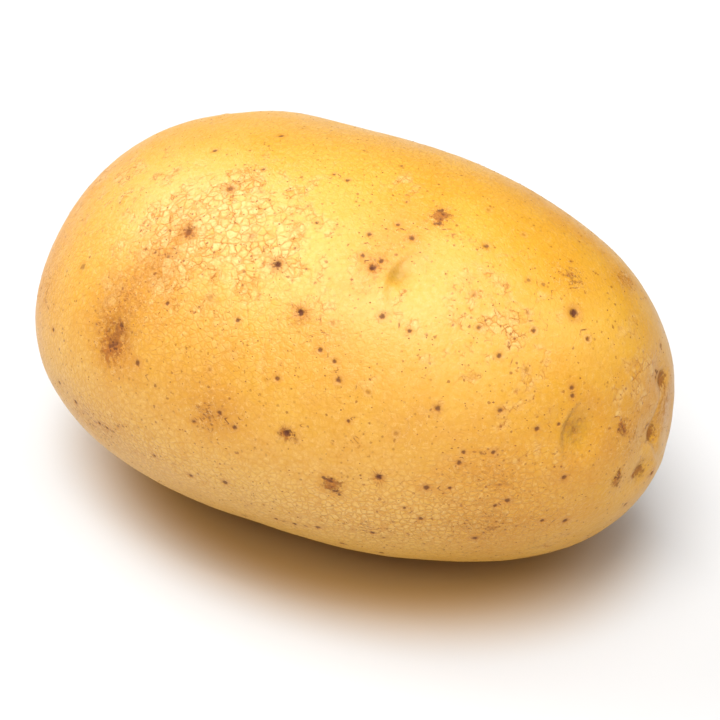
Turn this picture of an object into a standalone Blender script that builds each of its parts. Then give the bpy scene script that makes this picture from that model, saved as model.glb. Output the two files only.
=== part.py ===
"""A washed yellow potato, one solid tuber, modelled in metres with +Z up.

Run it with: blender --background --python part.py

+X points to the rose end, where the eyes crowd together, and -X to the stem end, where the tuber
hung on its stolon. The front side faces -Y. The origin lies under the middle of the potato's box,
on the surface that it rests on.

Marks on the skin are placed as on a globe that lies on its side: latitude runs from -90 degrees at
the stem end to 90 at the rose end, and longitude from 0 along the back to 90 along the front side.
"""

import math

import bmesh
import bpy
from mathutils import Vector
from mathutils.bvhtree import BVHTree

# Driving dimensions, in metres.
LENGTH = 0.0980
WIDTH = 0.0640
THICKNESS = 0.0580
FLAT_DEPTH = 0.0005  # how far the underside is pressed in where it rests

# The form of the tuber, each as a share of the size it works on.
END_FULLNESS = 2.4  # 2 gives the pointed ends of an ellipsoid, more gives blunt ones
GIRTH_FULLNESS = 1.95
WIDTH_TAPER = 0.17  # how much narrower the rose end is than the middle
HEIGHT_TAPER = -0.04
SIDE_BOW = 0.0045  # how far the ends swing back from the front side
BACK_ARCH = 0.0030  # how far the ends droop below the arched back

SKIN_ROUNDS = 5  # subdivisions of the icosphere that the tuber starts from
GAUSS_REACH = 3.0  # a hill or hollow has died away at this many times its reach

# Broad hills (a rise above 0) and hollows: latitude and longitude in degrees, reach and rise in mm.
SWELLS = (
    (-14, 32, 13, 0.5),
    (20, 16, 8, -0.7),
    (44, 38, 12, 0.5),
    (34, 24, 4, -0.5),
    (86, 20, 7, -0.5),
    (8, 96, 15, 0.4),
    (-40, -60, 12, 0.6),
    (20, -95, 13, -0.7),
    (48, -140, 12, 0.6),
    (-14, 180, 15, 0.45),
    (-62, 150, 10, 0.3),
    (72, -60, 9, -0.5),
    (-62, -27, 9, 0.35),
    (22, -40, 13, 0.25),
)

# Eyes, as sockets in the skin: latitude and longitude in degrees, reach and depth in mm.
EYES = (
    (89, -60, 2.6, 0.9),
    (80, -38, 2.6, 0.8),
    (83, 152, 2.4, 0.8),
    (73, 61, 3.0, 0.8),
    (31, 30, 2.6, 0.6),
    (-32, 72, 3.2, 0.6),
    (66, -118, 2.8, 0.9),
    (14, -72, 3.0, 0.8),
    (46, -166, 3.0, 0.8),
    (-8, -148, 3.0, 0.7),
    (-46, -42, 3.0, 0.6),
    (-44, -170, 2.8, 0.5),
)
STOLON_SCAR = (-88, 0, 3.4, 0.9)  # where the tuber broke off its stolon, at the stem end

SKIN_COLOUR = (0.80, 0.52, 0.16, 1.0)  # linear
SKIN_ROUGHNESS = 0.45

MM = 0.001


def clear_scene():
    for old in list(bpy.data.objects):
        bpy.data.objects.remove(old)


def direction(latitude, longitude):
    """The unit vector from the middle of the tuber towards a place on its skin."""
    lat, lon = math.radians(latitude), math.radians(longitude)
    return Vector((math.sin(lat), -math.cos(lat) * math.sin(lon), math.cos(lat) * math.cos(lon)))


def tuber_point(towards):
    """The point of the plain rounded tuber that lies towards a unit vector."""
    half_length, half_width, half_height = LENGTH / 2, WIDTH / 2, THICKNESS / 2
    x, y, z = towards
    girth = abs(y / half_width) ** GIRTH_FULLNESS + abs(z / half_height) ** GIRTH_FULLNESS
    girth **= 1 / GIRTH_FULLNESS
    size = (abs(x / half_length) ** END_FULLNESS + girth**END_FULLNESS) ** (-1 / END_FULLNESS)
    point = size * towards
    station = point.x / half_length  # -1 at the stem end, 1 at the rose end
    point.y *= 1 - WIDTH_TAPER * station
    point.z *= 1 - HEIGHT_TAPER * station
    point.y += SIDE_BOW * station**2
    point.z -= BACK_ARCH * station**2
    return point


def box_of(mesh):
    """The lowest and highest corners of a bmesh."""
    low = Vector(min(v.co[axis] for v in mesh.verts) for axis in range(3))
    high = Vector(max(v.co[axis] for v in mesh.verts) for axis in range(3))
    return low, high


def centre(mesh):
    """Moves a bmesh so that the middle of its box is at the origin."""
    low, high = box_of(mesh)
    bmesh.ops.translate(mesh, verts=mesh.verts, vec=-(low + high) / 2)


def push_skin(mesh, places):
    """Raises or sinks round patches of the skin. places holds latitude, longitude, reach and rise."""
    tree = BVHTree.FromBMesh(mesh)
    for latitude, longitude, reach, rise in places:
        outwards = direction(latitude, longitude)
        middle = tree.ray_cast(Vector((0, 0, 0)), outwards)[0]
        for vertex in mesh.verts:
            distance = (vertex.co - middle).length / (reach * MM)
            if distance < GAUSS_REACH:
                vertex.co += vertex.normal * rise * MM * math.exp(-(distance**2))
        mesh.normal_update()


def press_underside(mesh):
    """Presses the lowest stretch of skin into a flat and sets it down on z = 0."""
    floor = box_of(mesh)[0].z + FLAT_DEPTH
    for vertex in mesh.verts:
        vertex.co.z = max(vertex.co.z, floor)
    bmesh.ops.translate(mesh, verts=mesh.verts, vec=(0, 0, -floor))
    for vertex in mesh.verts:
        if vertex.co.z < MM * 1e-4:
            vertex.co.z = 0.0


def skin_material():
    material = bpy.data.materials.new("skin")
    material.use_nodes = True
    surface = material.node_tree.nodes["Principled BSDF"]
    surface.inputs["Base Color"].default_value = SKIN_COLOUR
    surface.inputs["Roughness"].default_value = SKIN_ROUGHNESS
    surface.inputs["Metallic"].default_value = 0.0
    return material


def build_potato():
    mesh = bmesh.new()
    bmesh.ops.create_icosphere(mesh, subdivisions=SKIN_ROUNDS, radius=1)
    for vertex in mesh.verts:
        vertex.co = tuber_point(vertex.co.normalized())
    centre(mesh)
    mesh.normal_update()
    push_skin(mesh, SWELLS)
    push_skin(mesh, [(lat, lon, reach, -depth) for lat, lon, reach, depth in (*EYES, STOLON_SCAR)])
    centre(mesh)
    press_underside(mesh)

    data = bpy.data.meshes.new("potato")
    mesh.to_mesh(data)
    mesh.free()
    data.shade_smooth()
    data.materials.append(skin_material())
    potato = bpy.data.objects.new("potato", data)
    bpy.context.scene.collection.objects.link(potato)
    return potato


def main():
    clear_scene()
    build_potato()


main()
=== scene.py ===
"""The looks of a washed yellow potato: its skin, with eyes, lenticels, russet and fine cracks.

Marks on the skin are placed as on a globe that lies on its side: latitude runs from -90 degrees at
the stem end to 90 at the rose end, and longitude from 0 along the back to 90 along the front side
and 180 along the underside. Sizes are in millimetres unless a name says otherwise.
"""

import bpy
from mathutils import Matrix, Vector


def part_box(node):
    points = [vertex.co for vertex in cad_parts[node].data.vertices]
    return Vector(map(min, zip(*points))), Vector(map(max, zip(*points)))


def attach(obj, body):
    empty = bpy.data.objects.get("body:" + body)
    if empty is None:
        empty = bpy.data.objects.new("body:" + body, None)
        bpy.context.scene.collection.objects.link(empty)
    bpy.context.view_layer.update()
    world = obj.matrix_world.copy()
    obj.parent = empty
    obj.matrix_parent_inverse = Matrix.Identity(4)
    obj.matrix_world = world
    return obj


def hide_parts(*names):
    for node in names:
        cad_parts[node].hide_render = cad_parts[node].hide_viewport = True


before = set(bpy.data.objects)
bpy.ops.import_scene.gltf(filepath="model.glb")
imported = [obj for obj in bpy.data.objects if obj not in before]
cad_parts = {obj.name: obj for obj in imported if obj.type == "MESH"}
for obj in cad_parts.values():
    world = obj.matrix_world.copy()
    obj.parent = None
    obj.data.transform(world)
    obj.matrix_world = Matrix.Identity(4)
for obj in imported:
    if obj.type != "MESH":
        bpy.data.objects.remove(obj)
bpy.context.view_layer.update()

import math
import random

import bmesh
import bpy
import numpy as np
from mathutils import Matrix, Vector, noise
from mathutils.bvhtree import BVHTree

MM = 0.001
NODE = "potato"
BODY = "root"

LOW, HIGH = (np.array(corner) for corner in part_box(NODE))
MIDDLE = (LOW + HIGH) / 2
SIZE = HIGH - LOW

# ---------------------------------------------------------------- the skin's mesh

SPHERE_ROUNDS = 7  # gives edges of about 0.7 mm
SMOOTHING_ROUNDS = 40  # takes the solid's facets out of the skin
SMOOTH_IN, SMOOTH_OUT = 0.50, -0.52  # a step inwards and one back, so that the skin doesn't shrink
MARK_ZONE = 1.9  # the mesh is made finer within this distance of a mark
CORE_ZONE = 1.0  # and finer again within this one
EYE_ZONE = 4.5
FLOOR_FADE = 0.6  # the relief grows to its full height this far above the table
FADE_START, FADE_END = 4.5, 6.0  # a mark's own colours fade out here, in its radii

# A lenticel's relief, in its own radii.
PIT_WIDTH, PIT_LIMIT = 0.85, 0.35
RIM_PLACE, RIM_WIDTH = 1.45, 0.45

# A brow's fold and the crease beside it, in mm.
FOLD_WIDTH, CREASE_PLACE, CREASE_WIDTH = 0.70, 0.75, 0.32

# A scab's crust: how far it stands on the skin, its roughness and the size of its lumps, in mm.
CRUST_RISE, CRUST_ROUGHNESS, CRUST_LUMP = 0.05, 0.16, 0.7

# Where cork specks gather: what the plain skin, the crackle net and a clump add, and a clump's size in mm.
SPECKS_PLAIN, SPECKS_NET, SPECKS_CLUMP, CLUMP_SIZE = 0.25, 0.8, 3, 6

# Unevenness of the whole skin: wavelength and height, in mm.
UNDULATIONS = ((17.0, 0.28), (7.0, 0.10), (2.6, 0.022), (1.1, 0.010))

# What a kind of lenticel looks like: darkness of its core, strength of a pale ring, strength of an
# orange halo, strength of the cracks that run out from it, depth of its pit and height of its rim.
KINDS = {
    "dark": (0.80, 0.15, 0.45, 0.15, 0.10, 0.03),
    "black": (1.00, 0.10, 0.65, 0.90, 0.20, 0.05),
    "pale": (0.25, 0.45, 0.30, 0.35, 0.03, 0.02),
    "ring": (0.75, 0.75, 0.50, 0.35, 0.10, 0.05),
    "blot": (1.00, 0.05, 0.60, 0.00, 0.20, 0.05),
    "star": (0.60, 0.45, 0.80, 1.00, 0.10, 0.04),
    "pin": (0.50, 0.00, 0.30, 0.00, 0.03, 0.01),
    "core": (0.80, 0.00, 0.30, 0.00, 0.06, 0.03),
}

# Lenticels: kind, then latitude, longitude and radius of each.
LENTICELS = {
    "dark": (
        (-24, -7.5, 0.50), (-18.5, 11.5, 0.35), (0.5, 6, 0.30), (5, 6.5, 0.40), (5.5, 24, 0.32),
        (-36.3, 6, 0.45), (19.5, 21.5, 0.40), (24.3, 15, 0.35), (29, 17.5, 0.50),
        (22.5, 6.3, 0.25), (13.7, -7.5, 0.25), (20.8, 28.5, 0.40), (25.5, 28, 0.40),
        (43, 9.5, 0.50), (31, 42.6, 0.45), (37.5, 43.7, 0.35), (11.6, 66, 0.40),
        (47.5, 62.6, 0.45), (30, 72, 0.30), (55, 40.5, 0.40), (69.2, 39.5, 0.40), (70, 43, 0.40),
        (58.7, 58.5, 0.40), (66, 63, 0.40), (54, 76, 0.35), (59.3, 75, 0.35), (53.4, 80, 0.40),
        (62.2, 98, 0.45), (60, 100, 0.35), (67, 116, 0.40), (72, 90.6, 0.45), (55, 117.5, 0.45),
        (46, 103.5, 0.40), (35, 111.5, 0.40), (21.7, 112, 0.45), (15.5, 112.5, 0.40),
        (10.5, 112, 0.35), (-0.5, 99.5, 0.50), (-10.3, 101.5, 0.40), (-20, 99.5, 0.35),
        (-24.7, 74, 0.50), (-21.7, 57.3, 0.40), (-2.5, 55.5, 0.35), (-1.5, 78.7, 0.40),
        (-8, 83.3, 0.40), (2.8, 81.3, 0.40), (-42, 96.5, 0.40), (-47.5, 95, 0.35),
        (-32.8, 98, 0.35), (-35, 98, 0.35), (-51, 79.5, 0.40),
        (43, 98.5, 0.30), (52, 90, 0.30), (47.5, 90, 0.50), (26, 62, 0.45), (20, 56, 0.42),
        (24, 57.7, 0.38),
    ),
    "black": (
        (1.7, 39, 0.60), (24.5, 30.8, 0.55), (37.8, 87.5, 0.55), (16, 79, 0.55),
        (12.5, 48.7, 0.60),
    ),
    "blot": ((62.5, 11, 0.75),),
    "star": ((-25.4, 38, 0.60), (-22.5, 21.5, 0.55)),
    "pale": (
        (-8.5, 34, 0.50), (-41.7, 17, 0.50), (38.3, -4.5, 0.35), (47, -3, 0.35), (21, 48.7, 0.35),
        (33, 63, 0.35), (46, 26.5, 0.35), (56, 22.5, 0.30), (60.5, 41, 0.40), (-6, 69, 0.30),
        (-11.5, 52.5, 0.50), (18.5, 80.2, 0.40), (40.5, 72.8, 0.35), (-14, 20, 0.35),
    ),
    "ring": ((49.5, 35, 0.35), (58.5, 27, 0.35), (67, 15.5, 0.35)),
    "pin": (
        (14, 79.5, 0.30), (53, 12, 0.35), (55.5, 10, 0.35), (-19, 77.7, 0.30), (-4, 81, 0.25),
        (-29, 94.5, 0.30), (-31, 98, 0.30), (-49, 57, 0.60), (-3.2, 82.5, 0.25),
        (-31, 46, 0.35), (-27, 46, 0.35),
    ),
}

# Scattered small marks: kind, latitude, longitude, reach along and around, number, largest radius.
CLUSTERS = (
    ("core", 31, 5, 0.7, 0.7, 6, 0.42),
    ("core", 32, 9.5, 0.5, 0.5, 4, 0.38),
    ("pin", 37, 11, 3.0, 1.6, 12, 0.22),
    ("core", 26.8, 90.5, 0.8, 0.7, 6, 0.42),
    ("core", 28, 94.5, 0.6, 0.6, 4, 0.40),
    ("pin", 12.5, 48.7, 1.9, 1.9, 12, 0.20),
    ("pin", 1.7, 39, 1.6, 1.3, 8, 0.18),
    ("pin", 20, 56, 1.2, 1.2, 5, 0.18),
    ("pin", 58, -1, 2.2, 2.2, 14, 0.25),
    ("core", 16, 79, 0.9, 0.9, 5, 0.30),
    ("core", -32.7, 72.5, 1.1, 1.1, 9, 0.42),
    ("core", -32, 67.3, 0.7, 0.6, 5, 0.38),
    ("pin", -33, 70.5, 2.2, 3.5, 16, 0.22),
    ("core", 73.5, 62.5, 1.8, 1.8, 9, 0.45),
    ("pin", 57, 75.6, 2.0, 0.3, 8, 0.20),
    ("core", 82, 50, 0.8, 0.8, 5, 0.34),
    ("core", 81, 121, 0.9, 1.3, 6, 0.38),
    ("core", 83.5, 158, 0.8, 0.8, 5, 0.36),
    ("core", 80, -38, 0.9, 0.9, 6, 0.40),
    ("core", 89, -60, 0.9, 0.9, 6, 0.40),
    ("pin", -25.4, 38, 1.6, 1.6, 10, 0.20),
    ("pin", 57, 110, 6.0, 4.0, 22, 0.22),
    ("pin", 40, 108, 6.0, 3.0, 16, 0.22),
    ("pin", -3, 80, 4.5, 4.0, 18, 0.20),
    ("pin", -38, 100, 6.0, 4.0, 24, 0.22),
    ("pin", -60, 75, 4.0, 5.0, 16, 0.22),
    ("pin", 45, 20, 9.0, 9.0, 26, 0.17),
    ("pin", 0, 15, 10.0, 9.0, 26, 0.17),
    ("pin", -2, 62, 12.0, 5.0, 20, 0.17),
    ("pin", 30, 75, 9.0, 6.0, 20, 0.17),
)

# Marks on the sides that have none above.
FAR_MARKS = 130
FAR_SPACING = 3.6
NEAR_SIDE = (-38, 116)  # the longitudes between which every lenticel and cluster is listed
FAR_KINDS = ("dark",) * 6 + ("pin",) * 3 + ("pale",) * 2 + ("ring", "black")
FAR_RADIUS = (0.25, 0.52)

# Eyes: latitude, longitude, radius and depth of the pit, half the length of the brow and its height.
# The brow is a low fold on the stem end's side of the pit.
EYES = (
    (31, 30, 1.3, 0.40, 5.0, 0.24),
    (73.5, 62, 2.2, 0.45, 4.0, 0.22),
    (80, -55, 1.7, 0.75, 2.4, 0.08),
    (87, -120, 1.7, 0.75, 2.2, 0.05),
    (83, 170, 1.6, 0.65, 2.2, 0.05),
    (-32.5, 70.5, 2.2, 0.30, 3.2, 0.14),
    (66, -118, 2.2, 0.70, 4.0, 0.28),
    (14, -72, 2.4, 0.60, 4.8, 0.28),
    (46, -166, 2.3, 0.60, 4.6, 0.28),
    (-8, -148, 2.4, 0.50, 4.8, 0.26),
    (-46, -42, 2.2, 0.40, 4.2, 0.22),
    (-44, -170, 2.2, 0.35, 4.2, 0.20),
)
STOLON_SCAR = (-88, 0, 2.3, 0.55)  # latitude, longitude, radius and depth
ROSE_BASIN = (79, -102)  # the middle of the hollow at the rose end
BASIN_RADIUS, BASIN_DEPTH, BASIN_FOLD, BASIN_CREASE = 8.0, 0.85, 0.08, 0.42
DRAW_IN = (1, 0.993, 0.999)  # keeps the skin inside the solid's box on the far side and on top

# Smooth patches: latitude, longitude, reach along the tuber and around it, strength.
PATCHES = {
    "amber": (
        (5, 85, 45, 8, 0.45),
        (-29, 52, 8, 9, 0.9), (-32, 70, 8, 8, 0.9), (-3, 81, 8, 6, 0.8), (55, 84, 12, 8, 0.8),
        (70, 37, 6, 5, 0.6), (26, 20, 4.5, 11, 0.75), (50, -24, 12, 6, 0.6), (20, 45, 9, 6, 0.35),
        (-12, 62, 14, 7, 0.5), (30, 66, 12, 6, 0.45), (78, 75, 7, 10, 0.6), (-66, 40, 7, 14, 0.6),
        (0, -20, 16, 6, 0.3), (60, 120, 10, 8, 0.5), (-30, -90, 12, 9, 0.7), (30, -120, 12, 9, 0.7),
        (10, 170, 14, 9, 0.6), (-50, 150, 9, 9, 0.6), (66, -120, 7, 8, 0.7), (80, -20, 7, 7, 0.5),
    ),
    "russet": (
        (-29, 51, 4.5, 6.5, 0.75), (-32.5, 70.5, 4.0, 6.0, 1.0), (-36, 62, 4, 5, 0.5),
        (-3, 80, 5, 5, 0.6), (57, 86, 8, 4, 0.45), (58, 110, 9, 5, 0.55), (63.5, -27, 2.0, 3.2, 0.9),
        (31.5, 7, 2.0, 2.0, 0.8), (27.3, 92, 2.4, 2.4, 0.7), (-25.4, 38, 2.2, 2.2, 0.75),
        (1.7, 39, 1.6, 1.6, 0.5), (12.5, 48.7, 2.2, 2.0, 0.55), (24, 29, 3.0, 3.6, 0.6),
        (29, 18, 2.6, 3.0, 0.4), (58, 0, 4.0, 4.0, 0.4), (-38, 100, 9, 5, 0.4),
        (-62, 70, 6, 7, 0.45), (73, 62, 2.8, 3.0, 0.3), (84, 60, 5, 5, 0.5), (20, 52, 5, 3, 0.35),
        (44, 72, 3, 6, 0.3), (-88, 0, 6, 6, 0.7), (-20, -80, 8, 8, 0.6), (40, -100, 8, 7, 0.5),
        (14, -72, 4, 4, 0.5), (-60, -130, 8, 8, 0.6), (20, 150, 9, 6, 0.5), (-20, 165, 8, 8, 0.5),
        (66, -118, 4, 4, 0.6), (46, -166, 4, 4, 0.5), (-8, -148, 4, 4, 0.45), (83, -85, 5, 5, 0.7),
    ),
    "crackle": (
        (-27, 37, 11, 9, 0.95), (-9, 36, 11, 9, 0.95), (-14, 14, 6, 5, 0.35), (45, 36, 11, 10, 0.38),
        (-22.5, 21.5, 3, 3, 1.0), (1.7, 39, 3, 3, 0.8), (53, 31, 3, 3, 0.7), (20.5, -0.5, 3, 3, 0.6),
        (-25.4, 38, 3.5, 3.5, 0.9), (62, 60, 8, 8, 0.3), (-60, 20, 9, 9, 0.5),
        (-10, -100, 14, 12, 0.8), (40, -80, 10, 10, 0.6), (-40, -130, 12, 12, 0.8),
        (20, -160, 14, 10, 0.7), (-20, 140, 14, 10, 0.6), (60, 170, 9, 12, 0.6), (81, 0, 8, 8, 0.5),
    ),
    "scab": (
        (31.3, 6.8, 1.3, 1.3, 1.0), (27.3, 92, 1.5, 1.5, 0.9), (-32.6, 72.4, 1.6, 1.9, 1.0),
        (-32.2, 67.3, 1.0, 1.1, 0.9), (-33.2, 75.5, 1.0, 1.0, 0.7), (73.5, 62.5, 1.6, 1.6, 0.3),
        (82, 50, 1.3, 1.3, 0.7), (81, 121, 1.1, 1.7, 0.8), (16, 79, 1.1, 1.1, 0.7),
        (-25.4, 38, 0.9, 0.9, 0.6), (58, -2, 1.8, 1.2, 0.5), (87, -120, 1.5, 1.5, 0.9),
        (80, -55, 1.5, 1.5, 0.9), (83, 170, 1.4, 1.4, 0.9), (-88, 0, 1.9, 1.9, 1.0),
        (-14, -95, 1.6, 1.6, 0.9), (22, 158, 1.5, 1.5, 0.8), (50, -70, 1.3, 1.3, 0.8),
    ),
    "green": (
        (31, 29.5, 1.5, 1.5, 1.0), (73.5, 62, 2.2, 2.2, 0.6), (14, -72, 2.0, 2.0, 0.6),
        (46, -166, 2.0, 2.0, 0.5),
    ),
    # Cream: the two rows on the upper front are a painted highlight, the two on the lower front are
    # painted light bounced up from the table, and the last two are a paler tone of the skin.
    "cream_and_painted_light": (
        (-16, 34, 15, 10, 0.95), (45, 36, 13, 10, 0.55), (32, 104, 24, 11, 0.95), (-34, 98, 22, 10, 0.9),
        (0, 130, 34, 14, 0.6), (0, -120, 30, 20, 0.5),
    ),
    "leather": (
        (35, 106, 24, 9, 1.0), (-30, 102, 22, 9, 0.9), (-62, 60, 10, 12, 0.6), (60, 100, 12, 10, 0.7),
        (0, 150, 34, 16, 0.7), (-70, 0, 12, 12, 0.5), (-10, -110, 26, 14, 0.6), (60, -150, 12, 14, 0.6),
    ),
    "dashes": (
        (40, 106, 22, 8, 0.9), (-20, 104, 22, 8, 0.8), (60, 100, 10, 12, 0.8), (30, 160, 30, 14, 0.6),
    ),
}

SEED = 61


def direction(latitude, longitude):
    """The unit vector from the potato's middle towards a place on its skin."""
    lat, lon = math.radians(latitude), math.radians(longitude)
    return np.array((math.sin(lat), -math.cos(lat) * math.sin(lon), math.cos(lat) * math.cos(lon)))


class Solid:
    """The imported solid, as something to cast rays on."""

    def __init__(self, node):
        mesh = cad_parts[node].data
        points = [vertex.co for vertex in mesh.vertices]
        self.tree = BVHTree.FromPolygons(points, [face.vertices for face in mesh.polygons])

    def skin_at(self, towards):
        """Where the skin lies from the potato's middle towards a vector, and which way it faces."""
        reach = self.tree.ray_cast(Vector(MIDDLE + 2 * SIZE.max() * towards), Vector(-towards))
        return np.array(reach[0]), np.array(reach[1])


class Place:
    """A place on the skin, with its own directions along the tuber, around it and outwards."""

    def __init__(self, solid, latitude, longitude):
        self.spot, self.out = solid.skin_at(direction(latitude, longitude))
        lengthwise = np.array((1.0, 0.0, 0.0)) if abs(latitude) < 84 else np.array((0.0, 0.3, 1.0))
        along = lengthwise - self.out * (lengthwise @ self.out)
        self.along = along / np.linalg.norm(along)
        self.around = np.cross(self.out, self.along)

    def offsets(self, points):
        """How far points are from this place: along, around and straight, in mm."""
        gap = (points - self.spot) / MM
        return gap @ self.along, gap @ self.around, np.linalg.norm(gap, axis=1)


def lay_skin(solid):
    """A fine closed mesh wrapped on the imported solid."""
    skin = bmesh.new()
    bmesh.ops.create_icosphere(skin, subdivisions=SPHERE_ROUNDS, radius=1)
    for vertex in skin.verts:
        towards = np.array(vertex.co) * SIZE
        vertex.co = solid.skin_at(towards / np.linalg.norm(towards))[0]
    smooth(skin, SMOOTHING_ROUNDS)
    return skin


def smooth(skin, rounds):
    """Evens out the mesh without shrinking it."""
    points = np.array([vertex.co for vertex in skin.verts])
    ends = np.array([(edge.verts[0].index, edge.verts[1].index) for edge in skin.edges])
    degree = np.bincount(ends.ravel(), minlength=len(points))[:, None]
    for step in (SMOOTH_IN, SMOOTH_OUT) * rounds:
        total = np.zeros_like(points)
        for axis in range(3):
            total[:, axis] += np.bincount(ends[:, 0], points[ends[:, 1], axis], len(points))
            total[:, axis] += np.bincount(ends[:, 1], points[ends[:, 0], axis], len(points))
        points += step * (total / degree - points)
    for vertex, point in zip(skin.verts, points):
        vertex.co = point


def refine(skin, spots, zone):
    """Halves the mesh's edges within a distance of each spot. zone is in mm, one for each spot."""
    points = np.array([vertex.co for vertex in skin.verts])
    near = np.zeros(len(points), bool)
    for spot, reach in zip(spots, zone):
        near |= ((points - spot) ** 2).sum(1) < (reach * MM) ** 2
    skin.verts.ensure_lookup_table()
    edges = [edge for edge in skin.edges if near[edge.verts[0].index] and near[edge.verts[1].index]]
    bmesh.ops.subdivide_edges(skin, edges=edges, cuts=1)
    bmesh.ops.triangulate(skin, faces=[face for face in skin.faces if len(face.verts) > 3])
    skin.verts.index_update()


def scatter_cluster(place, reach_along, reach_around, count, largest, dice):
    """Random spots round a place, each with a radius."""
    for _ in range(count):
        along, around = dice.gauss(0, reach_along / 2), dice.gauss(0, reach_around / 2)
        radius = largest * dice.uniform(0.45, 1.0)
        yield place.spot + (along * place.along + around * place.around) * MM, radius


def scatter_far_marks(solid, dice):
    """Well-spaced random marks on the sides where none are listed."""
    spots = []
    while len(spots) < FAR_MARKS:
        latitude = math.degrees(math.asin(dice.uniform(-1, 1)))
        longitude = dice.uniform(NEAR_SIDE[1], NEAR_SIDE[0] + 360)
        spot = solid.skin_at(direction(latitude, longitude))[0]
        if all(np.linalg.norm(spot - other) > FAR_SPACING * MM for other, _, _ in spots):
            spots.append((spot, dice.uniform(*FAR_RADIUS), dice.choice(FAR_KINDS)))
    return spots


def gather_marks(solid):
    """Every lenticel and speck that has its own relief: spot, radius and kind."""
    dice = random.Random(SEED)
    marks = []
    for kind, rows in LENTICELS.items():
        marks += [(Place(solid, lat, lon).spot, radius, kind) for lat, lon, radius in rows]
    for kind, lat, lon, reach_along, reach_around, count, largest in CLUSTERS:
        place = Place(solid, lat, lon)
        spots = scatter_cluster(place, reach_along, reach_around, count, largest, dice)
        marks += [(spot, radius, kind) for spot, radius in spots]
    return marks + scatter_far_marks(solid, dice)


def nearest_marks(points, marks):
    """For each point, the index of the mark that is nearest in radii, and that distance."""
    best = np.full(len(points), 1e9)
    which = np.zeros(len(points), int)
    for index, (spot, radius, _) in enumerate(marks):
        distance = np.linalg.norm(points - spot, axis=1) / (radius * MM)
        closer = distance < best
        best[closer], which[closer] = distance[closer], index
    return which, best


def eye_relief(place, points, radius, depth, brow, height):
    """The rise of the skin round one eye, in mm, and masks of its pit and of its crease."""
    along, around, far = place.offsets(points)
    pit = np.exp(-((far / radius) ** 2)) * (far < 6 * radius)
    line = -1.1 * radius + (around**2) / (3.2 * brow)  # the brow curves round the pit
    fade = np.exp(-((around / brow) ** 4)) * (far < 3 * brow)
    fold = np.exp(-(((along - line) / FOLD_WIDTH) ** 2)) * fade
    crease = np.exp(-(((along - line - CREASE_PLACE) / CREASE_WIDTH) ** 2)) * fade
    return -depth * pit + height * fold - 0.7 * height * crease, pit, crease


def basin_relief(solid, points):
    """The hollow at the rose end and the fold of skin on its front rim, in mm."""
    along, _, far = Place(solid, *ROSE_BASIN).offsets(points)
    facing = along / np.maximum(far, 0.01)  # 1 on the front side of the hollow
    rim = np.clip(facing, 0, 1) * (points[:, 0] > 0)
    fold = np.exp(-(((far - BASIN_RADIUS) / 1.1) ** 2)) * rim
    crease = np.exp(-(((far - BASIN_RADIUS + 1.2) / 0.6) ** 2)) * rim
    hollow = np.exp(-((far / (0.7 * BASIN_RADIUS)) ** 2)) * (points[:, 0] > 0)
    return BASIN_FOLD * fold - BASIN_CREASE * crease - BASIN_DEPTH * hollow


def patch_field(solid, points, rows):
    """How strongly each point lies in a list of soft patches, from 0 to 1."""
    field = np.zeros(len(points))
    for lat, lon, reach_along, reach_around, strength in rows:
        along, around, far = Place(solid, lat, lon).offsets(points)
        soft = np.exp(-((along / reach_along) ** 2) - (around / reach_around) ** 2)
        inside = far < 3 * max(reach_along, reach_around)
        field = 1 - (1 - field) * (1 - np.minimum(soft * strength, 1) * inside)
    return field


def undulate(points):
    """The skin's own gentle unevenness, in mm."""
    rise = np.zeros(len(points))
    for wavelength, height in UNDULATIONS:
        scale = 1 / (wavelength * MM)
        rise += height * np.array([noise.noise(Vector(point * scale)) for point in points])
    return rise


def store(mesh, name, values):
    """Keeps one number or one vector for each vertex, for the material to read."""
    kind = "FLOAT" if values.ndim == 1 else "FLOAT_VECTOR"
    layer = mesh.attributes.new(name, kind, "POINT")
    layer.data.foreach_set("value" if values.ndim == 1 else "vector", values.astype(np.float32).ravel())


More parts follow.
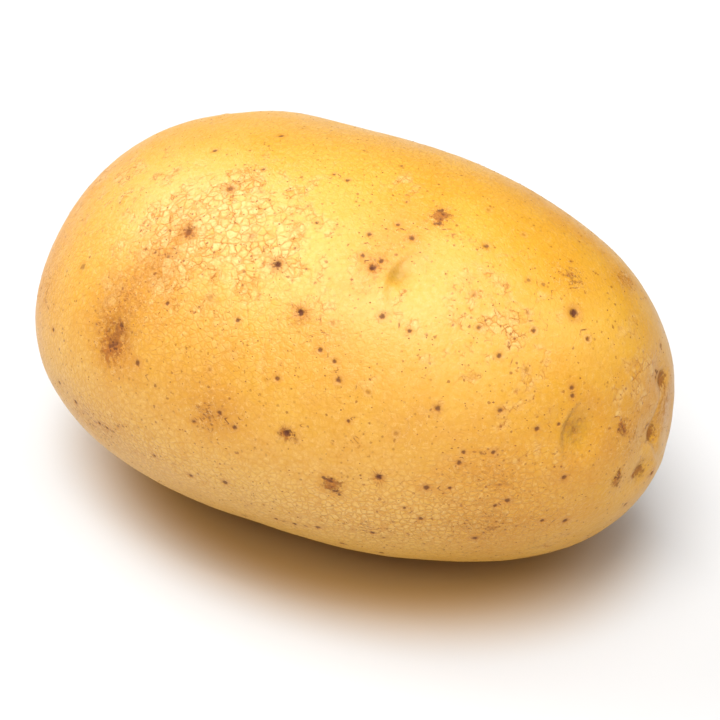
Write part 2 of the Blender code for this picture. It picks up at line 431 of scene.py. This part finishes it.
def build_skin(solid):
    """The potato's skin as one closed mesh, with its relief and with what its material reads."""
    marks = gather_marks(solid)
    spots = [spot for spot, _, _ in marks]
    eyes = [(Place(solid, lat, lon), *rest) for lat, lon, *rest in EYES]
    scar = Place(solid, *STOLON_SCAR[:2])

    skin = lay_skin(solid)
    eye_spots = [eye[0].spot for eye in eyes] + [scar.spot]
    refine(skin, eye_spots, [EYE_ZONE] * len(eye_spots))
    refine(skin, spots, [min(MARK_ZONE, 3 * radius) for _, radius, _ in marks])
    refine(skin, spots, [min(CORE_ZONE, 1.6 * radius) for _, radius, _ in marks])
    mesh = bpy.data.meshes.new("potato_skin")
    skin.to_mesh(mesh)
    skin.free()

    points = np.empty(len(mesh.vertices) * 3)
    mesh.vertices.foreach_get("co", points)
    points = points.reshape(-1, 3)
    out = np.empty(len(mesh.vertices) * 3)
    mesh.vertex_normals.foreach_get("vector", out)
    out = out.reshape(-1, 3)

    rise = undulate(points)
    pits, creases = np.zeros(len(points)), np.zeros(len(points))
    for place, radius, depth, brow, height in eyes:
        relief, pit, crease = eye_relief(place, points, radius, depth, brow, height)
        rise += relief
        pits = np.maximum(pits, pit)
        creases = np.maximum(creases, crease)

    rise += basin_relief(solid, points)
    _, _, from_scar = scar.offsets(points)
    rise -= STOLON_SCAR[3] * np.exp(-((from_scar / STOLON_SCAR[2]) ** 2))

    which, distance = nearest_marks(points, marks)
    looks = np.array([KINDS[kind] for _, _, kind in marks])[which]
    radii = np.array([radius for _, radius, _ in marks])[which]
    centres = np.array(spots)[which]
    near = np.clip((FADE_END - distance) / (FADE_END - FADE_START), 0, 1)
    depth = np.minimum(looks[:, 4], PIT_LIMIT * radii)
    rise -= depth * np.exp(-((distance / PIT_WIDTH) ** 2))
    rise += looks[:, 5] * np.exp(-(((distance - RIM_PLACE) / RIM_WIDTH) ** 2))

    fields = {name: patch_field(solid, points, rows) for name, rows in PATCHES.items()}
    crust = np.array([noise.noise(Vector(point / (CRUST_LUMP * MM))) for point in points])
    rise += fields["scab"] * (CRUST_RISE + CRUST_ROUGHNESS * crust)

    floor_fade = np.clip(points[:, 2] / (FLOOR_FADE * MM), 0, 1)  # the resting patch stays flat
    points += out * (rise * floor_fade * MM)[:, None]
    points[:, 2] = np.maximum(points[:, 2], 0)
    points *= np.where(points > 0, DRAW_IN, 1)
    mesh.vertices.foreach_set("co", points.ravel())

    store(mesh, "mark_place", (points - centres) / (radii * MM)[:, None])
    store(mesh, "mark_look", looks[:, :3] * near[:, None])
    store(mesh, "mark_rays", looks[:, 3] * near)
    store(mesh, "mark_seed", which % 97 * 1.37)
    store(mesh, "eye_pit", pits)
    store(mesh, "eye_crease", creases)
    for name, field in fields.items():
        store(mesh, name, field)
    clumps = np.array([noise.noise(Vector(point / (CLUMP_SIZE * MM))) for point in points])
    speckled = SPECKS_PLAIN + fields["russet"] + SPECKS_NET * fields["crackle"]
    speckled += np.clip(SPECKS_CLUMP * clumps, 0, 1)
    store(mesh, "speckled", speckled * (points[:, 2] > FLOOR_FADE * MM))
    mesh.update()
    mesh.shade_smooth()
    return mesh


# ---------------------------------------------------------------- the skin's material


class Board:
    """Adds nodes to one tree and wires them."""

    def __init__(self, tree):
        self.tree = tree

    def fill(self, node, inputs):
        """Gives each named input of a node its value or its wire."""
        for name, value in inputs.items():
            if isinstance(value, bpy.types.NodeSocket):
                self.tree.links.new(value, node.inputs[name])
            else:
                node.inputs[name].default_value = value

    def add(self, kind, inputs, **settings):
        """A node of a kind, with its settings, and with a value or a wire for each named input."""
        node = self.tree.nodes.new(kind)
        for name, value in settings.items():
            setattr(node, name, value)
        self.fill(node, inputs)
        return node

    def math(self, operation, first, second=0.5, addend=0.0, **settings):
        inputs = {0: first, 1: second, 2: addend}
        return self.add("ShaderNodeMath", inputs, operation=operation, **settings).outputs[0]

    def vector(self, operation, first, second):
        return self.add("ShaderNodeVectorMath", {0: first, 1: second}, operation=operation).outputs[0]

    def mix(self, factor, under, over):
        """One colour laid over another."""
        inputs = {0: factor, 6: under, 7: over}
        return self.add("ShaderNodeMix", inputs, data_type="RGBA").outputs[2]

    def lay(self, colour, over, mask, strength):
        """A colour with another laid over it where a mask says, at a strength."""
        return self.mix(self.math("MULTIPLY", mask, strength), colour, over)

    def scale(self, vector, factor):
        return self.add("ShaderNodeVectorMath", {0: vector, "Scale": factor}, operation="SCALE").outputs[0]

    def length(self, vector):
        return self.add("ShaderNodeVectorMath", {0: vector}, operation="LENGTH").outputs["Value"]

    def wire(self, output, socket):
        self.tree.links.new(output, socket)

    def step(self, value, start, end, low=0.0, high=1.0):
        """A smooth step from low to high as value goes from start to end."""
        inputs = {"Value": value, "From Min": start, "From Max": end, "To Min": low, "To Max": high}
        return self.add("ShaderNodeMapRange", inputs, interpolation_type="SMOOTHSTEP").outputs[0]

    def noise(self, place, size, detail=3.0, rough=0.55, colour=False):
        """Noise with features of a size in mm."""
        inputs = {"Vector": place, "Scale": 1 / (size * MM), "Detail": detail, "Roughness": rough}
        return self.add("ShaderNodeTexNoise", inputs).outputs["Color" if colour else "Fac"]

    def read(self, name, output="Fac"):
        """What the mesh keeps under a name."""
        return self.add("ShaderNodeAttribute", {}, attribute_name=name).outputs[output]

    def group(self, tree, inputs):
        node = self.tree.nodes.new("ShaderNodeGroup")
        node.node_tree = tree
        self.fill(node, inputs)
        return node.outputs


def new_material(name):
    """A named material, its board, its Principled surface and the place on the object."""
    material = bpy.data.materials.new(name)
    material.use_nodes = True
    board = Board(material.node_tree)
    surface = material.node_tree.nodes["Principled BSDF"]
    return material, board, surface, board.add("ShaderNodeTexCoord", {}).outputs["Object"]


def new_group(name, inputs, outputs):
    """An empty shader node group with named inputs and mask outputs, its board, and its two ends."""
    tree = bpy.data.node_groups.new(name, "ShaderNodeTree")
    for label, kind, value in inputs:
        socket = tree.interface.new_socket(label, in_out="INPUT", socket_type=f"NodeSocket{kind}")
        if value is not None:
            socket.default_value = value
    for label in outputs:
        tree.interface.new_socket(label, in_out="OUTPUT", socket_type="NodeSocketFloat")
    board = Board(tree)
    return tree, board, board.add("NodeGroupInput", {}).outputs, board.add("NodeGroupOutput", {}).inputs


def crackle_group():
    """A net of hair-fine cracks: masks of the cracks, of the grooves they lie in and of the plates."""
    inputs = (("Place", "Vector", None), ("Cell size mm", "Float", 1.2), ("Crack width", "Float", 0.05))
    tree, board, given, result = new_group("crackle net", inputs, ("Crack", "Groove", "Plate"))
    place = board.scale(given["Place"], board.math("DIVIDE", 1 / MM, given["Cell size mm"]))
    bend = board.add("ShaderNodeTexNoise", {"Vector": place, "Scale": 1.3, "Detail": 2.0}).outputs["Color"]
    bend = board.scale(board.vector("SUBTRACT", bend, (0.5, 0.5, 0.5)), 0.7)
    place = board.vector("ADD", place, bend)
    edge = board.add("ShaderNodeTexVoronoi", {"Vector": place, "Scale": 1.0}, feature="DISTANCE_TO_EDGE")
    cell = board.add("ShaderNodeTexVoronoi", {"Vector": place, "Scale": 1.0}, feature="F1")
    edge = edge.outputs["Distance"]
    thin = board.add("ShaderNodeTexNoise", {"Vector": place, "Scale": 0.8, "Detail": 1.0}).outputs["Fac"]
    width = board.math("MULTIPLY", given["Crack width"], board.step(thin, 0.35, 0.7, 0.2, 1.6))
    board.wire(board.step(edge, width, 0.0), result["Crack"])
    board.wire(board.step(edge, 0.22, 0.0), result["Groove"])
    plate = board.add("ShaderNodeSeparateColor", {"Color": cell.outputs["Color"]}).outputs[0]
    board.wire(plate, result["Plate"])
    return tree


def speckle_group():
    """Ragged specks, one in each of a share of the cells of an irregular lattice."""
    inputs = (
        ("Place", "Vector", None),
        ("Spacing mm", "Float", 1.0),
        ("Radius", "Float", 0.2),
        ("Share", "Float", 0.5),
    )
    tree, board, given, result = new_group("specks", inputs, ("Speck",))
    place = board.scale(given["Place"], board.math("DIVIDE", 1 / MM, given["Spacing mm"]))
    cell = board.add("ShaderNodeTexVoronoi", {"Vector": place, "Scale": 1.0}, feature="F1")
    chance = board.add("ShaderNodeSeparateColor", {"Color": cell.outputs["Color"]}).outputs
    ragged = board.add("ShaderNodeTexNoise", {"Vector": place, "Scale": 5.0, "Detail": 2.0}).outputs["Fac"]
    distance = board.math("ADD", cell.outputs["Distance"], board.step(ragged, 0.3, 0.7, -0.06, 0.06))
    radius = board.math("MULTIPLY", given["Radius"], board.step(chance[1], 0.0, 1.0, 0.5, 1.2))
    spot = board.step(distance, radius, board.math("MULTIPLY", radius, 0.45))
    chosen = board.math("LESS_THAN", chance[0], given["Share"])
    board.wire(board.math("MULTIPLY", spot, chosen), result["Speck"])
    return tree


# Linear colours of the skin.
GOLD = (0.605, 0.290, 0.010, 1)
STRAW = (0.645, 0.345, 0.032, 1)
AMBER = (0.530, 0.200, 0.006, 1)
# Pale cream: a painted highlight, painted light from the table, and in places a paler skin.
CREAM_AND_PAINTED_LIGHT = (0.740, 0.455, 0.140, 1)
RUSSET = (0.370, 0.118, 0.010, 1)
CRACK_BROWN = (0.340, 0.110, 0.008, 1)
GROOVE_AMBER = (0.500, 0.190, 0.010, 1)
# Pale crackle plates: partly the plates' own tone and partly a painted highlight.
PLATE_PALE_AND_PAINTED_HIGHLIGHT = (0.760, 0.530, 0.210, 1)
# Pale threads: the russet's crinkles, and over the rest of the skin painted glints.
FILAMENT_PALE_AND_PAINTED_GLINT = (0.780, 0.520, 0.200, 1)
HALO = (0.400, 0.115, 0.006, 1)
CORE_BROWN = (0.110, 0.028, 0.007, 1)
RING_PALE = (0.680, 0.410, 0.130, 1)
SCAB_BROWN = (0.230, 0.075, 0.014, 1)
SPECK_BROWN = (0.250, 0.072, 0.008, 1)
OLIVE = (0.380, 0.225, 0.005, 1)
WARM_GLOSS = (1.0, 0.97, 0.90, 1)
SHINE = 0.36
GLOSS_RANGE = (0.33, 0.43)  # the roughness of clean skin
DULLNESS = 0.35  # what cork and cracks add to it

# Noise that several parts of the skin share: size in mm, detail and roughness.
TONES = {
    "broad": (16, 3, 0.5),
    "mottle": (4.5, 4, 0.6),
    "fine": (0.9, 4, 0.65),
    "flecks": (0.7, 5, 0.7),
    "torn": (3.2, 3, 0.6),
}

# Nets of cracks: cell size in mm and the width of a crack as a share of it.
NETS = {"coarse": (1.20, 0.045), "small": (0.80, 0.045), "leather": (0.85, 0.040)}

# Shaded specks: spacing in mm, radius as a share of it and share of the places that have one.
SPECKS = {"dust": (0.9, 0.25, 0.55), "dots": (1.6, 0.17, 0.45), "dashes": (0.9, 0.22, 0.45)}
DASH_STRETCH = (0.28, 1, 1)


def ground_colour(board, tones):
    """The smooth ground of the skin: gold and straw, with amber patches, and cream patches that are
    painted highlight on the upper front and painted light from the table on the lower front.
    """
    colour = board.mix(board.step(tones["broad"], 0.35, 0.68), GOLD, STRAW)
    uneven = board.step(tones["mottle"], 0.30, 0.72, 0.45, 1.25)
    amber = board.math("MULTIPLY", board.read("amber"), uneven, use_clamp=True)
    colour = board.lay(colour, AMBER, amber, 0.85)
    # cream patches: painted highlight on the upper front and painted light from the table on the lower
    # front
    cream_and_painted_light = board.math("MULTIPLY", board.read("cream_and_painted_light"), board.step(tones["fine"], 0.25, 0.7, 0.4, 1.0))
    return board.lay(colour, CREAM_AND_PAINTED_LIGHT, cream_and_painted_light, 0.85)


def lay_russet(board, place, tones, colour):
    """Russet: amber skin that crinkles into pale filaments, flecked with cork; the same pale threads lie
    fainter over the rest of the skin as painted glints.
    """
    field = board.read("russet")
    russet = board.math("ADD", field, board.step(tones["flecks"], 0.3, 0.7, -0.55, 0.35))
    even = board.step(tones["mottle"], 0.3, 0.6, 0.45, 1)
    russet = board.math("MULTIPLY", board.step(russet, 0.30, 1.05), even)
    colour = board.lay(colour, AMBER, field, board.step(tones["fine"], 0.2, 0.6, 0.3, 0.75))
    colour = board.lay(colour, RUSSET, russet, 0.60)
    winding = board.noise(place, 1.0, 3, 0.55)
    line = board.math("ABSOLUTE", board.math("SUBTRACT", winding, 0.5))
    threads = board.math("MULTIPLY", board.step(line, 0.028, 0.004), board.step(tones["fine"], 0.42, 0.62))
    # pale threads: full on russet, and fainter elsewhere as painted glints
    crinkles_and_painted_glints = board.math("MULTIPLY", threads, board.step(field, 0.0, 0.6, 0.38, 1.0))
    return board.lay(colour, FILAMENT_PALE_AND_PAINTED_GLINT, crinkles_and_painted_glints, 0.65), russet, crinkles_and_painted_glints


def lay_net(board, place, tones, colour):
    """The crackle net, coarse and fine: pale plates, made paler as a painted highlight, with amber grooves
    and thin brown cracks.
    """
    crackle = crackle_group()
    nets = {
        name: board.group(crackle, {"Place": place, "Cell size mm": cell, "Crack width": width})
        for name, (cell, width) in NETS.items()
    }
    coarse, small, leather = nets["coarse"], nets["small"], nets["leather"]
    torn = tones["torn"]
    where = board.math("ADD", board.read("crackle"), board.step(torn, 0.25, 0.75, -0.5, 0.4))
    where = board.step(where, 0.20, 0.75)
    small_where = board.math("MULTIPLY", where, board.step(torn, 0.40, 0.60))
    cracks = board.math("MULTIPLY", coarse["Crack"], where)
    small_cracks = board.math("MULTIPLY", small["Crack"], small_where)
    grooves = board.math("MULTIPLY", coarse["Groove"], where)
    small_grooves = board.math("MULTIPLY", small["Groove"], small_where)
    hide = board.math("MULTIPLY", leather["Groove"], board.read("leather"))
    # pale plates: their own tone, brightened as a painted highlight
    colour = board.lay(colour, PLATE_PALE_AND_PAINTED_HIGHLIGHT, board.math("MULTIPLY", coarse["Plate"], where), 0.60)
    colour = board.lay(colour, GROOVE_AMBER, grooves, 0.50)
    colour = board.lay(colour, GROOVE_AMBER, small_grooves, 0.30)
    colour = board.lay(colour, GROOVE_AMBER, hide, 0.60)
    breaks = board.step(board.noise(place, 0.8, 2, 0.5), 0.34, 0.66, 0.12, 0.95)
    colour = board.lay(colour, CRACK_BROWN, cracks, breaks)
    colour = board.lay(colour, CRACK_BROWN, small_cracks, board.math("MULTIPLY", breaks, 0.6))
    masks = {
        "where": where,
        "cracks": cracks,
        "grooves": board.math("MAXIMUM", grooves, small_grooves),
        "leather": leather["Groove"],
        "hide": hide,
    }
    return colour, masks


def lay_specks(board, place, tones, where, colour):
    """Specks all over, and short dashes that run lengthwise along the lower front and the underside."""
    specks = speckle_group()
    stretched = board.add("ShaderNodeMapping", {"Vector": place, "Scale": DASH_STRETCH}).outputs[0]
    places = {"dust": place, "dots": place, "dashes": stretched}
    found = {}
    for name, (spacing, radius, share) in SPECKS.items():
        inputs = {"Place": places[name], "Spacing mm": spacing, "Radius": radius, "Share": share}
        found[name] = board.group(specks, inputs)["Speck"]
    rusty = board.math("MAXIMUM", board.read("russet"), where)
    rusty = board.math("MAXIMUM", rusty, board.step(tones["torn"], 0.42, 0.7, 0.35, 1.0))
    dashes = board.math("MULTIPLY", found["dashes"], board.read("dashes"))
    colour = board.lay(colour, SPECK_BROWN, found["dust"], board.math("MULTIPLY", rusty, 0.85))
    colour = board.lay(colour, SPECK_BROWN, found["dots"], 0.65)
    return board.lay(colour, SPECK_BROWN, dashes, 0.40)


def lay_eyes(board, tones, colour):
    """Eyes: olive or amber pits with a brown crease under the brow."""
    colour = board.lay(colour, OLIVE, board.read("green"), 0.75)
    stained = board.step(tones["flecks"], 0.35, 0.7, 0.0, 0.35)
    colour = board.lay(colour, RUSSET, board.read("eye_pit"), stained)
    darkened = board.step(tones["fine"], 0.4, 0.65, 0.0, 0.22)
    return board.lay(colour, RUSSET, board.read("eye_crease"), darkened)


def lay_scabs(board, tones, colour):
    """Scabs: rough brown crusts."""
    scab = board.math("ADD", board.read("scab"), board.step(tones["flecks"], 0.3, 0.7, -0.45, 0.25))
    scab = board.step(scab, 0.2, 0.65)
    crust = board.mix(board.step(tones["fine"], 0.35, 0.65), SCAB_BROWN, RUSSET)
    return board.lay(colour, crust, scab, 0.80), scab


def star_rays(board, place, mark):
    """Fine cracks that run out from a lenticel, each mark with its own."""
    unit = board.add("ShaderNodeVectorMath", {0: mark}, operation="NORMALIZE").outputs["Vector"]
    spread = board.vector("ADD", board.scale(unit, 1.7), board.read("mark_seed", "Vector"))
    edge = board.add("ShaderNodeTexVoronoi", {"Vector": spread, "Scale": 1.0}, feature="DISTANCE_TO_EDGE")
    far = board.length(mark)
    thin = board.math("MULTIPLY", edge.outputs["Distance"], far)
    broken = board.step(board.noise(place, 0.6, 2, 0.5), 0.38, 0.60)
    rays = board.math("MULTIPLY", board.step(thin, 0.16, 0.03), board.step(far, 5.0, 1.6))
    return board.math("MULTIPLY", board.math("MULTIPLY", rays, broken), board.read("mark_rays"))


def lay_lenticels(board, place, colour):
    """Lenticels: a dark core, a pale ring, an orange halo and rays, all a little ragged."""
    look = board.add("ShaderNodeSeparateXYZ", {"Vector": board.read("mark_look", "Vector")}).outputs
    mark = board.read("mark_place", "Vector")
    rays = star_rays(board, place, mark)
    ragged = board.vector("SUBTRACT", board.noise(place, 0.4, 3, 0.6, colour=True), (0.5, 0.5, 0.5))
    far = board.length(board.vector("ADD", mark, ragged))
    halo = board.math("MULTIPLY", board.step(far, 2.8, 0.7), look[2])
    off_ring = board.math("ABSOLUTE", board.math("SUBTRACT", far, 1.5))
    ring = board.math("MULTIPLY", board.step(off_ring, 0.6, 0.1), look[1])
    core = board.math("MULTIPLY", board.step(far, 1.10, 0.45), look[0])
    colour = board.lay(colour, HALO, halo, 0.75)
    colour = board.lay(colour, RING_PALE, ring, 0.55)
    colour = board.lay(colour, CRACK_BROWN, rays, 0.80)
    return board.mix(core, colour, CORE_BROWN), core, rays


def skin_material():
    """Thin yellow skin: amber and russet patches, a crackle net, specks, lenticels and scabs."""
    material, board, surface, place = new_material("potato skin")
    tones = {name: board.noise(place, *settings) for name, settings in TONES.items()}
    colour = ground_colour(board, tones)
    colour, russet, crinkles_and_painted_glints = lay_russet(board, place, tones, colour)
    colour, net = lay_net(board, place, tones, colour)
    colour = lay_specks(board, place, tones, net["where"], colour)
    colour = lay_eyes(board, tones, colour)
    colour, scab = lay_scabs(board, tones, colour)
    colour, core, rays = lay_lenticels(board, place, colour)
    board.wire(colour, surface.inputs["Base Color"])

    # Gloss: a smooth skin, dull on russet, scabs, cores and cracks.
    cork = board.math("MAXIMUM", russet, scab)
    dull = board.math("MAXIMUM", cork, board.math("MAXIMUM", core, net["cracks"]))
    gloss = board.step(tones["mottle"], 0.25, 0.75, *GLOSS_RANGE)
    rough = board.math("ADD", gloss, board.math("MULTIPLY", dull, DULLNESS), use_clamp=True)
    board.wire(rough, surface.inputs["Roughness"])
    surface.inputs["Specular Tint"].default_value = WARM_GLOSS
    surface.inputs["Specular IOR Level"].default_value = SHINE

    # Fine relief: masks or noise, and how far each raises the skin, in mm.
    layers = (
        (board.noise(place, 1.5, 3, 0.5), 0.10),
        (board.noise(place, 0.50, 3, 0.6), 0.050),
        (board.noise(place, 0.22, 2, 0.5), 0.012),
        (net["leather"], -0.005),
        (net["hide"], -0.055),
        (net["grooves"], -0.040),
        (board.math("MAXIMUM", net["cracks"], rays), -0.015),
        (crinkles_and_painted_glints, 0.030),
        (board.math("MULTIPLY", tones["flecks"], cork), 0.10),
    )
    height = 0.0
    for layer, rise in layers:
        height = board.math("MULTIPLY_ADD", layer, rise, addend=height)
    bump = board.add("ShaderNodeBump", {"Strength": 1.0, "Distance": MM, "Height": height})
    board.wire(bump.outputs["Normal"], surface.inputs["Normal"])
    return material


def add_skin():
    """The whole potato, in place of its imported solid."""
    mesh = build_skin(Solid(NODE))
    mesh.materials.append(skin_material())
    skin = bpy.data.objects.new("potato_skin", mesh)
    bpy.context.scene.collection.objects.link(skin)
    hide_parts(NODE)
    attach(skin, BODY)
    return skin


# ---------------------------------------------------------------- corky specks that stand on the skin

SPECKS_PER_SQUARE_METRE = 190000  # where the skin is fully speckled
SPECK_RADII = (0.00005, 0.00014)  # metres
SPECK_SHAPES = ((0.7, 0.6, 0.28), (1.5, 1.0, 0.42))  # the least and most of a speck's three sizes


def cork_material():
    """Dry brown cork, lighter and darker from speck to speck."""
    material, board, surface, place = new_material("cork")
    tone = board.step(board.noise(place, 1.5, 2, 0.6), 0.35, 0.65)
    board.wire(board.mix(tone, SCAB_BROWN, CRACK_BROWN), surface.inputs["Base Color"])
    bump = board.add("ShaderNodeBump", {"Distance": 0.03 * MM, "Height": board.noise(place, 0.06, 2)})
    board.wire(bump.outputs["Normal"], surface.inputs["Normal"])
    surface.inputs["Roughness"].default_value = 0.75
    return material


def cork_tree():
    """Geometry Nodes that scatter low corky domes over a speckled skin."""
    tree = bpy.data.node_groups.new("cork specks", "GeometryNodeTree")
    sockets = (
        ("Skin", "NodeSocketGeometry", None),
        ("Specks per square metre", "NodeSocketFloat", 1.0),
        ("Smallest radius", "NodeSocketFloat", 0.0001),
        ("Largest radius", "NodeSocketFloat", 0.0002),
        ("Seed", "NodeSocketInt", 0),
        ("Cork", "NodeSocketMaterial", None),
    )
    for label, kind, value in sockets:
        socket = tree.interface.new_socket(label, in_out="INPUT", socket_type=kind)
        if value is not None:
            socket.default_value = value
    tree.interface.new_socket("Specks", in_out="OUTPUT", socket_type="NodeSocketGeometry")
    board = Board(tree)
    given = board.add("NodeGroupInput", {}).outputs
    result = board.add("NodeGroupOutput", {}).inputs
    speckled = board.add("GeometryNodeInputNamedAttribute", {"Name": "speckled"}, data_type="FLOAT")
    density = board.math("MULTIPLY", speckled.outputs["Attribute"], given["Specks per square metre"])
    points = board.add(
        "GeometryNodeDistributePointsOnFaces",
        {"Mesh": given["Skin"], "Density": density, "Seed": given["Seed"]},
    ).outputs
    dome = board.add("GeometryNodeMeshIcoSphere", {"Radius": 1.0, "Subdivisions": 1}).outputs["Mesh"]
    low, high = SPECK_SHAPES
    shape = {"Min": low, "Max": high, "Seed": given["Seed"]}
    shape = board.add("FunctionNodeRandomValue", shape, data_type="FLOAT_VECTOR").outputs["Value"]
    radius = {"Min": given["Smallest radius"], "Max": given["Largest radius"], "Seed": given["Seed"]}
    random_radius = board.add("FunctionNodeRandomValue", {}, data_type="FLOAT")
    for name, wire in radius.items():
        socket = next(end for end in random_radius.inputs if end.name == name and end.enabled)
        board.wire(wire, socket)
    size = next(end for end in random_radius.outputs if end.enabled)
    scale = board.scale(shape, size)
    inputs = {"Points": points["Points"], "Instance": dome, "Rotation": points["Rotation"], "Scale": scale}
    domes = board.add("GeometryNodeInstanceOnPoints", inputs).outputs["Instances"]
    domes = board.add("GeometryNodeRealizeInstances", {"Geometry": domes}).outputs["Geometry"]
    domes = board.add("GeometryNodeSetMaterial", {"Geometry": domes, "Material": given["Cork"]})
    board.wire(domes.outputs["Geometry"], result["Specks"])
    return tree


def add_cork(skin):
    """Low corky specks, scattered by Geometry Nodes and kept as a plain mesh."""
    tree = cork_tree()
    carrier = bpy.data.objects.new("carrier", skin.data)
    bpy.context.scene.collection.objects.link(carrier)
    modifier = carrier.modifiers.new("cork specks", "NODES")
    modifier.node_group = tree
    values = {
        "Specks per square metre": SPECKS_PER_SQUARE_METRE,
        "Smallest radius": SPECK_RADII[0],
        "Largest radius": SPECK_RADII[1],
        "Seed": SEED,
        "Cork": cork_material(),
    }
    for item in tree.interface.items_tree:
        if item.in_out == "INPUT" and item.name in values:
            modifier[item.identifier] = values[item.name]
    graph = bpy.context.evaluated_depsgraph_get()
    mesh = bpy.data.meshes.new_from_object(carrier.evaluated_get(graph), depsgraph=graph)
    bpy.data.objects.remove(carrier)
    cork = bpy.data.objects.new("cork_specks", mesh)
    bpy.context.scene.collection.objects.link(cork)
    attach(cork, BODY)


# ---------------------------------------------------------------- the studio

CAMERA_AZIMUTH, CAMERA_ELEVATION = 30, 37  # degrees
CAMERA_DISTANCE = 0.2936
CAMERA_LENS = 100
TARGET_SHIFT = (0.002236, -0.004154)  # to the right and up, as the camera sees it

# Soft lights: name, direction from the potato and power in watts.
SOFTBOXES = (
    ("overhead", (0.00, 0.05, 1.00), 4.5),
    ("left", (-0.75, 0.15, 0.65), 5.9),
    ("right", (0.72, 0.00, 0.70), 2.9),
    ("high front", (0.00, -0.50, 0.87), 7.7),
    ("low front", (0.50, -0.80, 0.40), 2.2),
)
SOFTBOX_DISTANCE, SOFTBOX_SIDE = 0.9, 0.6
WORLD_STRENGTH = 0.03

TABLE_SIDE = 6
TABLE_WHITE = (0.61, 0.61, 0.61, 1)
# The brown of a painted shadow, laid on the table round the tuber.
PAINTED_SHADOW_BROWN = (0.42, 0.26, 0.10, 1)
PAINTED_SHADOW_REACH = (0.045, 0.029, 1.0)  # half the length and width of the oval of painted shadow, in metres
PAINTED_SHADOW_FADE = (0.70, 1.20)  # the painted shadow fades out from the first to the second, in those halves


def table_material():
    """White card with a painted shadow: a brown oval close to the tuber that deepens the contact shadow
    there.
    """
    material, board, surface, place = new_material("white table")
    reach = board.length(board.vector("DIVIDE", place, PAINTED_SHADOW_REACH))
    # painted shadow: the table's white turns brown towards the tuber
    painted_shadow = board.step(reach, *PAINTED_SHADOW_FADE, 1.0, 0.0)
    board.wire(board.mix(painted_shadow, TABLE_WHITE, PAINTED_SHADOW_BROWN), surface.inputs["Base Color"])
    surface.inputs["Roughness"].default_value = 0.9
    surface.inputs["Specular IOR Level"].default_value = 0.0
    return material


def add_floor():
    """A wide white table, level with the underside."""
    bpy.ops.mesh.primitive_plane_add(size=TABLE_SIDE, location=(0, 0, 0))
    floor = bpy.context.object
    floor.name = "table"
    floor.data.materials.append(table_material())


def add_softbox(name, towards, power):
    """A square soft light that faces the potato."""
    towards = Vector(towards).normalized()
    lamp = bpy.data.lights.new(name, "AREA")
    lamp.shape = "SQUARE"
    lamp.size = SOFTBOX_SIDE
    lamp.energy = power
    box = bpy.data.objects.new(name, lamp)
    box.rotation_euler = towards.to_track_quat("Z", "Y").to_euler()
    box.location = Vector(MIDDLE) + towards * SOFTBOX_DISTANCE
    bpy.context.scene.collection.objects.link(box)


def add_lights():
    """A faint white surround and the soft lights."""
    world = bpy.data.worlds.new("studio")
    world.use_nodes = True
    background = world.node_tree.nodes["Background"]
    background.inputs["Color"].default_value = (1, 1, 1, 1)
    background.inputs["Strength"].default_value = WORLD_STRENGTH
    bpy.context.scene.world = world
    for name, towards, power in SOFTBOXES:
        add_softbox(f"{name} softbox", towards, power)


def add_camera():
    """The camera, round towards the rose end and above."""
    azimuth, elevation = math.radians(CAMERA_AZIMUTH), math.radians(CAMERA_ELEVATION)
    right = Vector((math.cos(azimuth), math.sin(azimuth), 0))
    level = Vector((math.sin(azimuth), -math.cos(azimuth), 0))
    back = level * math.cos(elevation) + Vector((0, 0, math.sin(elevation)))
    up = back.cross(right)
    data = bpy.data.cameras.new("camera")
    data.lens = CAMERA_LENS
    data.sensor_width = 36
    data.clip_start = 0.01
    camera = bpy.data.objects.new("camera", data)
    target = Vector(MIDDLE) + TARGET_SHIFT[0] * right + TARGET_SHIFT[1] * up
    camera.location = target + CAMERA_DISTANCE * back
    camera.rotation_euler = Matrix((right, up, back)).transposed().to_euler()
    bpy.context.scene.collection.objects.link(camera)
    bpy.context.scene.camera = camera


def main():
    """The potato on its table, lit and seen."""
    add_cork(add_skin())
    add_floor()
    add_lights()
    add_camera()
    bpy.context.scene.view_settings.view_transform = "Standard"


main()
